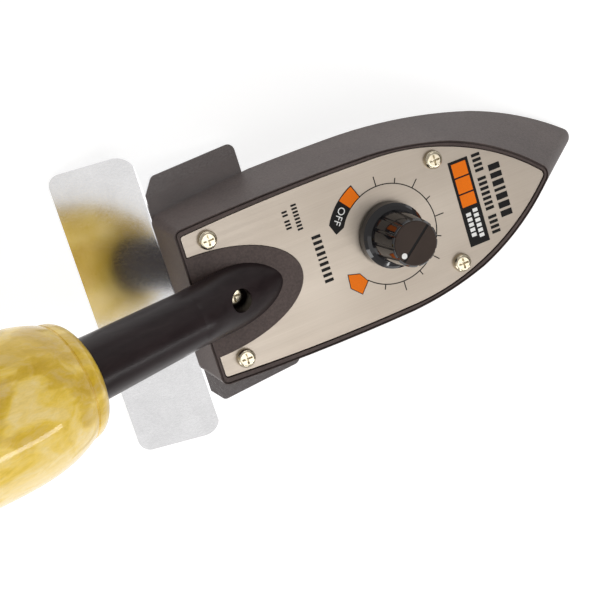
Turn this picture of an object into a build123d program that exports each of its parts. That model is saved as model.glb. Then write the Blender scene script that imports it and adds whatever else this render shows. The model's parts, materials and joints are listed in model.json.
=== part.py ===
"""Electric edge-banding iron with a rotary thermostat.

X points forward to the nose, Y to the left, Z up.  The origin lies on the sole's
working face, straight under the knob's axis.  Millimetres throughout.
"""
import os
from math import atan2, cos, radians, sin

from build123d import *

os.makedirs("parts", exist_ok=True)

# ---------------------------------------------------------------- driving sizes
PLATE_TOP = 35.5          # face of the control plate above the table
PLATE_T = 1.0
PLATE_TIP_R = 1.5
PLATE_REAR_R = 0.8
RIM_TOP = 35.9            # cover rim stands a little proud of the plate
RIM_GROOVE_W = 0.5        # fine groove that parts the rim from the outer wall
RIM_GROOVE_D = 0.6
PLATE_GAP = 0.35          # gap left round the control plate
COVER_BASE = 4.0
BASE_TIP_R = 3.0          # nose and rear corner radii, at the base and at the rim
BASE_REAR_R = 3.2
TOP_TIP_R = 3.3
TOP_REAR_R = 2.2
COVER_WALL = 2.4
LEDGE_Z = 32.0            # underside of the ledge the plate lies on
SADDLE_Z = 25.0           # underside of the solid bed under the neck
REAR_X = -61.9            # rear wall of the cover

SOLE_FLANGE = 3.4
SOLE_BLOCK = 9.0
GASKET_T = 0.6

M3_R = 1.5
M4_R = 2.0
THREAD_GAP = 0.03         # radial gap kept between a thread and its tapped hole
CLAMP_SCREWS = [(-15.6, 0), (22.0, 0)]
THERMO_SCREWS = [(6.5, 10.3), (6.5, -5.0)]
EARTH_SCREW = (57.0, 0)
BLOCK_REAR = -20.0
PLATE_SCREWS = [(-53.1, 18.4), (-53.1, -18.4), (19.1, 16.4), (19.1, -16.4)]

# rest: folded sheet with a ridge behind the cover
REST_T = 0.9
REST_RIDGE = (-61.5, 11.9)
REST_FRONT = (-29.0, 4.55)
REST_REAR = (-85.4, 1.7)
REST_SLOPE = (REST_RIDGE[1] - REST_FRONT[1]) / (REST_FRONT[0] - REST_RIDGE[0])

# neck and handle share one axis that climbs to the rear
TILT = 16.6
CT, ST = cos(radians(TILT)), sin(radians(TILT))
HANDLE_FACE = (-103.5, 0.0, 52.6)
NECK_R_REAR = 9.4
NECK_R_FRONT = 8.5
NECK_CONE = 38.6
NECK_BORE_R = 5.03
NECK_SCREW_X = -50.7
NECK_SEAT_Z = 33.4
SPIGOT_R = 7.0
SPIGOT_L = 12.0
HANDLE_L = 118.0
BEAD_L = 1.7              # the handle's front bead laps this far over the neck
TUBE_R = 5.0
TUBE_BORE_R = 3.9
CORD_R = 3.6              # bore the flex would pass through
PLUG_L = 5.2
SLEEVE_L = 24.0
SLEEVE_R = 6.9
SLEEVE_TAPER = 0.065
SLEEVE_RIBS = 5

# thermostat
FRAME_Z = 12.6
FRAME_T = 1.2
FRAME_TOP = 28.2
BUSH_R = 4.0
SPINDLE_R = 3.0
SPINDLE_TOP = 52.0
CAM_Z = 18.4
CAM_T = 3.2
CAM_R_LOW = 4.6
CAM_RISE = 1.4
CAM_SWEEP = 285.0
ARM_PIVOT = (-17.0, 9.6)
KNOB_SKIRT_R = 9.85
KNOB_TOP_R = 6.7
KNOB_WAIST_R = 7.9
KNOB_FLUTES = 12
KNOB_GROOVE = 0.8
KNOB_DOT = (4.9, -0.95, 0)
KNOB_DOT_R = 0.85
KNOB_BASE_Z = 36.1
KNOB_TOP_Z = 54.7
KNOB_POINTER = 218.0      # direction of the pointer line in the rest pose


# ---------------------------------------------------------------- outlines
def rest_line(x):
    """Height of the top face of the rest's front wing."""
    return REST_FRONT[1] + REST_SLOPE * (REST_FRONT[0] - x)


def grown(points, grow):
    """The same half outline moved outward by `grow` along its own normals."""
    drop = [atan2(a[1] - b[1], b[0] - a[0]) for a, b in zip(points, points[1:])]
    moved = [(points[0][0] - grow, points[0][1] + grow)]
    for i in range(1, len(points) - 1):
        slope = (drop[i - 1] + drop[i]) / 2
        moved.append((points[i][0] + grow * sin(slope), points[i][1] + grow * cos(slope)))
    whole = atan2(points[-3][1] - points[-1][1], points[-1][0] - points[-3][0])
    half_angle = drop[-1] + whole - drop[-2]
    moved.append((points[-1][0] + grow / sin(half_angle), 0.0))
    return moved


def boat(points, tip_r, rear_r, grow=0.0):
    """Boat-shaped face: three arcs a side from the rear corner to the tip."""
    line = grown(points, grow)
    with BuildSketch() as face:
        with BuildLine():
            for side in (1, -1):
                p = [(x, side * y) for x, y in line]
                ThreePointArc(p[0], p[1], p[2])
                ThreePointArc(p[2], p[3], p[4])
                ThreePointArc(p[4], p[5], p[6])
            Line((line[0][0], line[0][1]), (line[0][0], -line[0][1]))
        make_face()
        fillet(face.vertices().sort_by(Axis.X)[-1], max(tip_r + grow, 0.5))
        fillet(face.vertices().sort_by(Axis.X)[0:2], max(rear_r + grow, 0.5))
    return face.sketch


PLATE_LINE = [(-60.2, 21.7), (-30, 23.1), (0, 23.0), (11, 22.1), (24, 18.7), (40, 10.8), (52.9, 0)]
TOP_LINE = [(REAR_X, 23.9), (-30, 25.05), (0, 24.8), (12, 23.45), (26, 20.0), (42, 11.6), (55.2, 0)]
BASE_LINE = [(REAR_X, 25.6), (-32, 26.7), (0, 26.8), (27, 24.25), (48, 19.05), (65, 11.25), (80.9, 0)]


def plate_cutout(shrink=0.0):
    """Rounded tongue the neck bed fills at the rear of the plate."""
    with BuildSketch() as tongue:
        with Locations((-60.4, 0)):
            Ellipse(31.6 - shrink, 15.5 - shrink)
        with Locations((REAR_X + 0.1, 0)):
            Rectangle(80, 60, align=(Align.MIN, Align.CENTER), mode=Mode.INTERSECT)
    return tongue.sketch


def pan_screw(shank_r, length, head_r, head_h, cross=True):
    """Screw with a domed pan head; the underside of the head sits at the origin."""
    with BuildPart() as screw:
        Cylinder(head_r, head_h, align=(Align.CENTER, Align.CENTER, Align.MIN))
        fillet(screw.edges().sort_by(Axis.Z)[-1], head_h * 0.55)
        with Locations((0, 0, head_h)):
            if cross:
                Box(head_r * 1.15, head_r * 0.22, head_h * 1.1, mode=Mode.SUBTRACT)
                Box(head_r * 0.22, head_r * 1.15, head_h * 1.1, mode=Mode.SUBTRACT)
            else:
                Box(head_r * 3, head_r * 0.24, head_h * 0.7, mode=Mode.SUBTRACT)
        Cylinder(shank_r, length, align=(Align.CENTER, Align.CENTER, Align.MAX))
        chamfer(screw.edges().sort_by(Axis.Z)[0], shank_r * 0.3)
    return screw.part


def neck_plane(t):
    """Plane square to the neck, t millimetres ahead of the handle's front face."""
    x = HANDLE_FACE[0] + CT * t
    z = HANDLE_FACE[2] - ST * t
    return Plane(origin=(x, 0, z), x_dir=(0, 1, 0), z_dir=(CT, 0, -ST))


NECK_NOSE = [(NECK_CONE, 8.5, 8.5), (47.0, 8.8, 7.6), (55.1, 8.9, 5.9), (63.0, 7.6, 4.9),
             (69.4, 4.6, 3.6), (73.2, 1.6, 1.5)]


def neck_body(grow=0.0):
    """Outer form of the neck: a cone, then a nose that sinks into the cover."""
    with BuildPart() as body:
        with BuildSketch(neck_plane(0)):
            Circle(NECK_R_REAR + grow)
        with BuildSketch(neck_plane(NECK_CONE)):
            Circle(NECK_R_FRONT + grow)
        loft()
        for t, half_width, half_height in NECK_NOSE:
            with BuildSketch(neck_plane(t)):
                Ellipse(half_width + grow, half_height + grow)
        loft()
    return body.part


HANDLE_AXIS = Axis(HANDLE_FACE, (-CT, 0, ST))
HANDLE_PLANE = Plane(origin=HANDLE_FACE, x_dir=(-CT, 0, ST), z_dir=(0, 1, 0))
AXIS_BACK = Plane(origin=HANDLE_FACE, x_dir=(0, 1, 0), z_dir=(-CT, 0, ST))


def cam_outline(rise, steps=12):
    """Spiral edge: the radius grows evenly through the knob's travel."""
    pts = []
    for i in range(steps + 1):
        turn = CAM_SWEEP * i / steps
        r = CAM_R_LOW + rise * i / steps
        a = radians(90 - turn)
        pts.append((r * cos(a), r * sin(a)))
    return pts


# ---------------------------------------------------------------- sole
SOLE_LINE = boat(BASE_LINE, BASE_TIP_R, BASE_REAR_R, grow=-0.9)
with BuildPart() as sole_plate:
    with BuildSketch():
        add(SOLE_LINE)
    extrude(amount=SOLE_FLANGE)
    chamfer(sole_plate.edges().group_by(Axis.Z)[0], 0.4)
    with BuildSketch(Plane.XY.offset(1.0)):
        add(boat(BASE_LINE, BASE_TIP_R, BASE_REAR_R, grow=-4.6))
        with Locations((BLOCK_REAR - 40, 0), (62.5 + 40, 0)):
            Rectangle(80, 80, mode=Mode.SUBTRACT)
    extrude(amount=SOLE_BLOCK - 1.0)
    with Locations((NECK_SCREW_X, 0, 1.0)):
        Cylinder(5.0, SADDLE_Z - 1.0, align=(Align.CENTER, Align.CENTER, Align.MIN))
    with BuildSketch(Plane.XZ) as shoulder:
        with BuildLine():
            Polyline(
                (NECK_SCREW_X - 8, 1.0),
                (NECK_SCREW_X + 8, 1.0),
                (NECK_SCREW_X + 8, rest_line(NECK_SCREW_X + 8) - REST_T * 1.09),
                (NECK_SCREW_X - 8, rest_line(NECK_SCREW_X - 8) - REST_T * 1.09),
                close=True,
            )
        make_face()
    extrude(amount=8.0, both=True)
    with Locations((38.0, 0, 1.0)):
        Cylinder(4.5, 12.0, align=(Align.CENTER, Align.CENTER, Align.MIN))
    # channel for the element
    with BuildSketch(Plane.XY.offset(SOLE_BLOCK)):
        with BuildLine() as channel_line:
            Line((-24, 10), (38, 10))
            ThreePointArc((38, 10), (48, 0), (38, -10))
            Line((38, -10), (-24, -10))
        trace(line_width=6.8)
    extrude(amount=-6.4, mode=Mode.SUBTRACT)
    # tapped holes: neck, cover, clamp, earth
    with Locations((NECK_SCREW_X, 0, SADDLE_Z)):
        Hole(M4_R + THREAD_GAP, depth=15.0)
    with Locations((38.0, 0, 13.0)):
        Hole(M4_R + THREAD_GAP, depth=9.5)
    with Locations(*[(x, y, SOLE_BLOCK) for x, y in CLAMP_SCREWS]):
        Hole(M4_R + THREAD_GAP, depth=6.5)
    with Locations((EARTH_SCREW[0], EARTH_SCREW[1], SOLE_BLOCK)):
        Hole(M3_R + THREAD_GAP, depth=6.5)
sole_plate.part.label = "sole_plate"
export_step(sole_plate.part, "parts/sole_plate.step")

# ---------------------------------------------------------------- element and clamp
ELEMENT_Z = 5.9
ELEMENT_END = -21.5
with BuildPart() as heating_element:
    with BuildLine() as bend:
        Line((ELEMENT_END, 10, ELEMENT_Z), (38, 10, ELEMENT_Z))
        ThreePointArc((38, 10, ELEMENT_Z), (48, 0, ELEMENT_Z), (38, -10, ELEMENT_Z))
        Line((38, -10, ELEMENT_Z), (ELEMENT_END, -10, ELEMENT_Z))
    with BuildSketch(Plane(origin=(ELEMENT_END, 10, ELEMENT_Z), z_dir=(1, 0, 0))):
        Circle(3.25)
    sweep()
heating_element.part.label = "heating_element"
export_step(heating_element.part, "parts/heating_element.step")

with BuildPart() as element_seals:
    for y in (10, -10):
        with Locations(Plane(origin=(ELEMENT_END, y, ELEMENT_Z), z_dir=(-1, 0, 0))):
            Cylinder(2.6, 1.8, align=(Align.CENTER, Align.CENTER, Align.MIN))
    chamfer(element_seals.edges().group_by(Axis.X)[0], 0.4)
element_seals.part.label = "element_seals"
export_step(element_seals.part, "parts/element_seals.step")

with BuildPart() as element_pins:
    for y in (10, -10):
        with Locations(Plane(origin=(ELEMENT_END - 1.8, y, ELEMENT_Z), z_dir=(-1, 0, 0))):
            Cylinder(1.0, 4.0, align=(Align.CENTER, Align.CENTER, Align.MIN))
element_pins.part.label = "element_pins"
export_step(element_pins.part, "parts/element_pins.step")

PRESS_Z = 9.2
with BuildPart() as pressure_plate:
    with BuildSketch(Plane.XY.offset(PRESS_Z)):
        with Locations((6.0, 0)):
            RectangleRounded(50, 29, 5)
        with Locations((38.0, 0)):
            Circle(8.0, mode=Mode.SUBTRACT)
    extrude(amount=3.0)
    chamfer(pressure_plate.edges().group_by(Axis.Z)[-1], 0.5)
    with Locations(*[(x, y, PRESS_Z + 3.0) for x, y in CLAMP_SCREWS]):
        Hole(M4_R + 0.2)
    with Locations(*[(x, y, PRESS_Z + 3.0) for x, y in THERMO_SCREWS]):
        Hole(M3_R + THREAD_GAP)
pressure_plate.part.label = "pressure_plate"
export_step(pressure_plate.part, "parts/pressure_plate.step")

with BuildPart() as clamp_screws:
    with Locations(*[(x, y, PRESS_Z + 3.0) for x, y in CLAMP_SCREWS]):
        add(pan_screw(M4_R, 9.0, 3.6, 2.4))
clamp_screws.part.label = "clamp_screws"
export_step(clamp_screws.part, "parts/clamp_screws.step")

with BuildPart() as mica_sheet:
    with BuildSketch(Plane.XY.offset(12.2)):
        with Locations((6.0, 0)):
            RectangleRounded(46, 27, 3)
        with Locations(*CLAMP_SCREWS):
            Circle(4.0, mode=Mode.SUBTRACT)
        with Locations(*THERMO_SCREWS):
            Circle(1.8, mode=Mode.SUBTRACT)
        with Locations((35.0, 0)):
            Circle(8.0, mode=Mode.SUBTRACT)
    extrude(amount=FRAME_Z - 12.2)
mica_sheet.part.label = "mica_sheet"
export_step(mica_sheet.part, "parts/mica_sheet.step")

# ---------------------------------------------------------------- thermostat
with BuildPart() as thermostat_frame:
    with BuildSketch(Plane.XZ) as strap:
        with Locations((0, (FRAME_Z + FRAME_TOP) / 2)):
            RectangleRounded(23.6, FRAME_TOP - FRAME_Z, 2.0)
            RectangleRounded(21.2, FRAME_TOP - FRAME_Z - 2 * FRAME_T, 0.9, mode=Mode.SUBTRACT)
    extrude(amount=6.4, both=True)
    with BuildSketch(Plane.XY.offset(FRAME_Z)):
        with Locations((7.0, 3.2)):
            RectangleRounded(51.0, 19.0, 2.0)
        with Locations(*CLAMP_SCREWS):
            Circle(3.7, mode=Mode.SUBTRACT)
    extrude(amount=FRAME_T)
    with Locations(*[(x, y, FRAME_Z + FRAME_T) for x, y in THERMO_SCREWS]):
        Hole(1.7, depth=FRAME_T + 0.1)
    with Locations((0, 0, FRAME_TOP)):
        Hole(BUSH_R + 0.1, depth=FRAME_T + 0.2)
    with Locations((ARM_PIVOT[0], ARM_PIVOT[1], FRAME_Z + FRAME_T)):
        Hole(1.25, depth=FRAME_T + 0.1)
thermostat_frame.part.label = "thermostat_frame"
export_step(thermostat_frame.part, "parts/thermostat_frame.step")

with BuildPart() as thermostat_screws:
    with Locations(*[(x, y, FRAME_Z + FRAME_T) for x, y in THERMO_SCREWS]):
        add(pan_screw(M3_R, 4.4, 2.6, 1.6))
thermostat_screws.part.label = "thermostat_screws"
export_step(thermostat_screws.part, "parts/thermostat_screws.step")

BUSH_TOP = 38.9
with BuildPart() as thermostat_bush:
    with Locations((0, 0, FRAME_TOP - FRAME_T - 1.2)):
        Cylinder(5.6, 1.2, align=(Align.CENTER, Align.CENTER, Align.MIN))
        Cylinder(BUSH_R, BUSH_TOP - (FRAME_TOP - FRAME_T - 1.2),
                 align=(Align.CENTER, Align.CENTER, Align.MIN))
    chamfer(thermostat_bush.edges().group_by(Axis.Z)[-1], 0.4)
    with Locations((0, 0, BUSH_TOP)):
        Hole(SPINDLE_R + 0.03)
thermostat_bush.part.label = "thermostat_bush"
export_step(thermostat_bush.part, "parts/thermostat_bush.step")

with BuildPart() as bush_washer:
    with BuildSketch(Plane.XY.offset(PLATE_TOP)):
        Circle(6.6)
        Circle(BUSH_R + 0.15, mode=Mode.SUBTRACT)
    extrude(amount=0.5)
bush_washer.part.label = "bush_washer"
export_step(bush_washer.part, "parts/bush_washer.step")

with BuildPart() as bush_nut:
    with BuildSketch(Plane.XY.offset(PLATE_TOP + 0.5)):
        RegularPolygon(6.0, 6, major_radius=False)
        Circle(BUSH_R + THREAD_GAP, mode=Mode.SUBTRACT)
    extrude(amount=2.2)
bush_nut.part.label = "bush_nut"
export_step(bush_nut.part, "parts/bush_nut.step")

with BuildPart() as spindle:
    with Locations((0, 0, FRAME_Z + FRAME_T + 0.4)):
        Cylinder(SPINDLE_R, SPINDLE_TOP - FRAME_Z - FRAME_T - 0.4,
                 align=(Align.CENTER, Align.CENTER, Align.MIN))
    chamfer(spindle.edges().group_by(Axis.Z)[-1], 0.5)
    with Locations(Location((0, 0, 46.5), (0, 0, KNOB_POINTER))):
        with Locations((SPINDLE_R + 0.6, 0, 0)):
            Box(2.6, 8, 13, mode=Mode.SUBTRACT)
spindle.part.label = "spindle"
export_step(spindle.part, "parts/spindle.step")

with BuildPart() as cam:
    with BuildSketch(Plane.XY.offset(CAM_Z)):
        with BuildLine():
            edge = Spline(*cam_outline(CAM_RISE))
            Line(edge @ 1, edge @ 0)
        make_face()
        Circle(CAM_R_LOW - 0.05)
        Circle(SPINDLE_R + 0.01, mode=Mode.SUBTRACT)
    extrude(amount=CAM_T)
cam.part.label = "cam"
export_step(cam.part, "parts/cam.step")

ARM_Z = CAM_Z + 0.3
with BuildPart() as contact_arm:
    with BuildSketch(Plane.XY.offset(ARM_Z)):
        with BuildLine():
            Polyline((ARM_PIVOT[0], 8.4), (17.0, 8.4), (17.0, 10.4), (ARM_PIVOT[0], 10.8), close=True)
        make_face()
        with Locations(ARM_PIVOT):
            Circle(2.6)
        with BuildLine():
            Polyline((-0.8, 8.6), (-0.8, 5.5), (0.8, 5.5), (0.8, 8.6), close=True)
        make_face()
        with Locations((0, 5.55)):
            Circle(0.8)
        with Locations(ARM_PIVOT):
            Circle(1.25 + 0.04, mode=Mode.SUBTRACT)
    extrude(amount=CAM_T - 0.6)
contact_arm.part.label = "contact_arm"
export_step(contact_arm.part, "parts/contact_arm.step")

with BuildPart() as arm_contact:
    with Locations(Plane(origin=(14.6, 8.4, ARM_Z + 1.3), z_dir=(0, -1, 0))):
        Cylinder(1.2, 0.6, align=(Align.CENTER, Align.CENTER, Align.MIN))
arm_contact.part.label = "arm_contact"
export_step(arm_contact.part, "parts/arm_contact.step")

with BuildPart() as arm_pivot:
    with Locations((ARM_PIVOT[0], ARM_PIVOT[1], FRAME_Z)):
        Cylinder(1.25, 11.6, align=(Align.CENTER, Align.CENTER, Align.MIN))
    with Locations((ARM_PIVOT[0], ARM_PIVOT[1], FRAME_Z + FRAME_T)):
        Cylinder(2.4, ARM_Z - FRAME_Z - FRAME_T - 0.2, align=(Align.CENTER, Align.CENTER, Align.MIN))
    with Locations((ARM_PIVOT[0], ARM_PIVOT[1], ARM_Z + CAM_T - 0.4)):
        Cylinder(2.2, 0.8, align=(Align.CENTER, Align.CENTER, Align.MIN))
arm_pivot.part.label = "arm_pivot"
export_step(arm_pivot.part, "parts/arm_pivot.step")

with BuildPart() as bimetal_strip:
    with Locations((21.9, 6.4, ARM_Z + 1.3)):
        Box(18.8, 0.8, 5.0)
bimetal_strip.part.label = "bimetal_strip"
export_step(bimetal_strip.part, "parts/bimetal_strip.step")

with BuildPart() as bimetal_contact:
    with Locations(Plane(origin=(14.6, 6.8, ARM_Z + 1.3), z_dir=(0, 1, 0))):
        Cylinder(1.2, 0.8, align=(Align.CENTER, Align.CENTER, Align.MIN))
bimetal_contact.part.label = "bimetal_contact"
export_step(bimetal_contact.part, "parts/bimetal_contact.step")

with BuildPart() as insulator_block:
    with Locations((28.1, 6.4, FRAME_Z + FRAME_T)):
        Box(6.4, 6.4, 10.6, align=(Align.CENTER, Align.CENTER, Align.MIN))
    fillet(insulator_block.edges().filter_by(Axis.Z), 0.8)
    with Locations((28.1, 6.4, ARM_Z + 1.3)):
        Box(6.4, 0.8, 5.0, mode=Mode.SUBTRACT)
insulator_block.part.label = "insulator_block"
export_step(insulator_block.part, "parts/insulator_block.step")

# ---------------------------------------------------------------- knob
with BuildPart() as knob:
    with BuildSketch(Plane.XZ):
        with BuildLine():
            Polyline(
                (0, KNOB_BASE_Z),
                (KNOB_SKIRT_R - 0.3, KNOB_BASE_Z),
                (KNOB_SKIRT_R, KNOB_BASE_Z + 0.4),
                (KNOB_SKIRT_R - 0.1, KNOB_BASE_Z + 3.0),
                (KNOB_SKIRT_R - 0.9, KNOB_BASE_Z + 3.8),
                (KNOB_WAIST_R, KNOB_BASE_Z + 4.3),
                (KNOB_TOP_R + 0.35, KNOB_TOP_Z - 1.0),
                (KNOB_TOP_R, KNOB_TOP_Z - 0.5),
                (0, KNOB_TOP_Z - 0.5),
                close=True,
            )
        make_face()
    revolve(axis=Axis.Z)
    # finger flutes round the upper body
    for i in range(KNOB_FLUTES):
        turn = radians(KNOB_POINTER + (i + 0.5) * 360 / KNOB_FLUTES)
        low = (KNOB_WAIST_R + 0.15, KNOB_BASE_Z + 4.6)
        high = (KNOB_TOP_R + 0.28, KNOB_TOP_Z)
        with BuildLine() as flute_line:
            Line((low[0] * cos(turn), low[0] * sin(turn), low[1]),
                 (high[0] * cos(turn), high[0] * sin(turn), high[1]))
        with BuildSketch(Plane(origin=flute_line.line @ 0, z_dir=flute_line.line % 0)):
            Circle(0.55)
        sweep(path=flute_line.line, mode=Mode.SUBTRACT)
    # room for the bush nut, then the D-shaped bore
    with Locations((0, 0, KNOB_BASE_Z)):
        Cylinder(7.6, 3.6, align=(Align.CENTER, Align.CENTER, Align.MIN), mode=Mode.SUBTRACT)
        Cylinder(SPINDLE_R + 0.02, SPINDLE_TOP + 0.2 - KNOB_BASE_Z,
                 align=(Align.CENTER, Align.CENTER, Align.MIN), mode=Mode.SUBTRACT)
    with Locations(Location((0, 0, KNOB_BASE_Z + 8.5), (0, 0, KNOB_POINTER + 180))):
        with Locations(Rotation(0, 90, 0)):
            Cylinder(M3_R + THREAD_GAP, 12, align=(Align.CENTER, Align.CENTER, Align.MIN),
                     mode=Mode.SUBTRACT)
    # hole for the dot beside the cap's groove
    with Locations(Location((0, 0, KNOB_TOP_Z - 0.5), (0, 0, KNOB_POINTER))):
        with Locations(KNOB_DOT):
            Cylinder(KNOB_DOT_R, 1.0, mode=Mode.SUBTRACT)
knob.part.label = "knob"
export_step(knob.part, "parts/knob.step")

with BuildPart() as knob_dot:
    with Locations(Location((0, 0, KNOB_TOP_Z - 1.0), (0, 0, KNOB_POINTER))):
        with Locations(KNOB_DOT):
            Cylinder(KNOB_DOT_R, 1.08, align=(Align.CENTER, Align.CENTER, Align.MIN))
knob_dot.part.label = "knob_dot"
export_step(knob_dot.part, "parts/knob_dot.step")

with BuildPart() as knob_cap:
    with BuildSketch(Plane.XY.offset(KNOB_TOP_Z - 0.5)):
        Circle(KNOB_TOP_R - 0.25)
    extrude(amount=0.5)
    chamfer(knob_cap.edges().group_by(Axis.Z)[-1], 0.2)
    with Locations(Location((0, 0, KNOB_TOP_Z), (0, 0, KNOB_POINTER))):
        Box(4 * KNOB_TOP_R, KNOB_GROOVE, 0.7, mode=Mode.SUBTRACT)
        with Locations(KNOB_DOT):
            Cylinder(KNOB_DOT_R, 2.0, mode=Mode.SUBTRACT)
knob_cap.part.label = "knob_cap"
export_step(knob_cap.part, "parts/knob_cap.step")

with BuildPart() as knob_set_screw:
    with Locations(Location((0, 0, KNOB_BASE_Z + 8.5), (0, 0, KNOB_POINTER + 180))):
        with Locations(Location((SPINDLE_R + 0.05, 0, 0), (0, 90, 0))):
            Cylinder(M3_R, 3.6, align=(Align.CENTER, Align.CENTER, Align.MIN))
        with Locations((SPINDLE_R + 3.6, 0, 0)):
            Box(1.4, 4, 0.5, mode=Mode.SUBTRACT)
knob_set_screw.part.label = "knob_set_screw"
export_step(knob_set_screw.part, "parts/knob_set_screw.step")

# ---------------------------------------------------------------- control plate
with BuildPart() as control_plate:
    with BuildSketch(Plane.XY.offset(PLATE_TOP)):
        add(boat(PLATE_LINE, PLATE_TIP_R, PLATE_REAR_R))
        add(plate_cutout(), mode=Mode.SUBTRACT)
        with Locations(*PLATE_SCREWS):
            Circle(1.7, mode=Mode.SUBTRACT)
        Circle(BUSH_R + 0.15, mode=Mode.SUBTRACT)
    extrude(amount=-PLATE_T)
control_plate.part.label = "control_plate"
export_step(control_plate.part, "parts/control_plate.step")

with BuildPart() as plate_screws:
    with Locations(*[(x, y, PLATE_TOP) for x, y in PLATE_SCREWS]):
        add(pan_screw(M3_R, 9.0, 2.8, 1.9))
plate_screws.part.label = "plate_screws"
export_step(plate_screws.part, "parts/plate_screws.step")

# ---------------------------------------------------------------- cover
with BuildPart() as cover:
    with BuildSketch(Plane.XY.offset(COVER_BASE)):
        add(boat(BASE_LINE, BASE_TIP_R, BASE_REAR_R))
    with BuildSketch(Plane.XY.offset(RIM_TOP)):
        add(boat(TOP_LINE, TOP_TIP_R, TOP_REAR_R))
    loft()
    # hollow inside, then the recess and window for the plate
    with BuildSketch(Plane.XY.offset(COVER_BASE)):
        add(boat(BASE_LINE, BASE_TIP_R, BASE_REAR_R, grow=-COVER_WALL))
    with BuildSketch(Plane.XY.offset(RIM_TOP)):
        add(boat(TOP_LINE, TOP_TIP_R, TOP_REAR_R, grow=-COVER_WALL))
    hollow = loft(mode=Mode.PRIVATE)
    with BuildSketch(Plane.XY.offset(LEDGE_Z)):
        Rectangle(400, 400)
    lid_zone = extrude(amount=20, mode=Mode.PRIVATE)
    add(hollow - lid_zone, mode=Mode.SUBTRACT)
    with BuildSketch(Plane.XY.offset(SADDLE_Z)):
        add(plate_cutout(shrink=0.3))
    extrude(amount=RIM_TOP - SADDLE_Z - 0.5)
    with BuildSketch(Plane.XY.offset(LEDGE_Z - 1)):
        add(boat(PLATE_LINE, PLATE_TIP_R, PLATE_REAR_R, grow=-3.4))
        add(plate_cutout(shrink=-1.5), mode=Mode.SUBTRACT)
    extrude(amount=5, mode=Mode.SUBTRACT)
    with BuildSketch(Plane.XY.offset(PLATE_TOP - PLATE_T)):
        add(boat(PLATE_LINE, PLATE_TIP_R, PLATE_REAR_R, grow=PLATE_GAP))
        add(plate_cutout(shrink=0.15), mode=Mode.SUBTRACT)
    extrude(amount=5, mode=Mode.SUBTRACT)
    with BuildSketch(Plane.XY.offset(RIM_TOP - RIM_GROOVE_D)):
        add(boat(TOP_LINE, TOP_TIP_R, TOP_REAR_R, grow=-0.2))
        add(boat(TOP_LINE, TOP_TIP_R, TOP_REAR_R, grow=-0.2 - RIM_GROOVE_W), mode=Mode.SUBTRACT)
    extrude(amount=RIM_GROOVE_D, mode=Mode.SUBTRACT)
    # posts for the plate screws, bridge and post for the cover screw
    with Locations(*[(x, y, PLATE_TOP - PLATE_T) for x, y in PLATE_SCREWS]):
        Cylinder(3.4, 13.5, align=(Align.CENTER, Align.CENTER, Align.MAX))
    with Locations((38.0, 0, 28.0)):
        Box(6.0, 22.0, 8.0)
    with Locations((38.0, 0, LEDGE_Z)):
        Cylinder(4.5, LEDGE_Z - 13.0, align=(Align.CENTER, Align.CENTER, Align.MAX))
    with Locations(*[(x, y, PLATE_TOP - PLATE_T) for x, y in PLATE_SCREWS]):
        Hole(M3_R + THREAD_GAP, depth=10.5)
    with Locations((38.0, 0, LEDGE_Z)):
        Hole(M4_R + 0.2, depth=LEDGE_Z - 12.9)
    # bed and opening for the neck, its screw and its wires
    add(neck_body(grow=0.08), mode=Mode.SUBTRACT)
    with Locations((NECK_SCREW_X, 0, SADDLE_Z)):
        Cylinder(M4_R + 0.2, 20, mode=Mode.SUBTRACT)
    with Locations((-57.9, 0, SADDLE_Z)):
        Box(5.0, 7.0, 30.0, mode=Mode.SUBTRACT)
    with Locations((-37.5, 0, SADDLE_Z)):
        Cylinder(M3_R + THREAD_GAP, 8.0, mode=Mode.SUBTRACT)
    # sloping rear underside that sits on the rest
    with BuildSketch(Plane.XZ):
        with BuildLine():
            Polyline(
                (REST_FRONT[0] + (REST_FRONT[1] - COVER_BASE) / REST_SLOPE, COVER_BASE),
                (-80.0, rest_line(-80.0)),
                (-80.0, -5.0),
                (REST_FRONT[0] + (REST_FRONT[1] - COVER_BASE) / REST_SLOPE, -5.0),
                close=True,
            )
        make_face()
    extrude(amount=60, both=True, mode=Mode.SUBTRACT)
cover.part.label = "cover"
export_step(cover.part, "parts/cover.step")

with BuildPart() as gasket:
    with BuildSketch(Plane.XY.offset(SOLE_FLANGE)):
        add(boat(BASE_LINE, BASE_TIP_R, BASE_REAR_R, grow=-1.0))
        add(boat(BASE_LINE, BASE_TIP_R, BASE_REAR_R, grow=-3.6), mode=Mode.SUBTRACT)
        with Locations((-26.6 - 40, 0)):
            Rectangle(80, 80, mode=Mode.SUBTRACT)
    extrude(amount=GASKET_T)
gasket.part.label = "gasket"
export_step(gasket.part, "parts/gasket.step")

with BuildPart() as cover_screw:
    with Locations((38.0, 0, LEDGE_Z)):
        add(pan_screw(M4_R, 27.0, 3.6, 2.3))
cover_screw.part.label = "cover_screw"
export_step(cover_screw.part, "parts/cover_screw.step")

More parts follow.
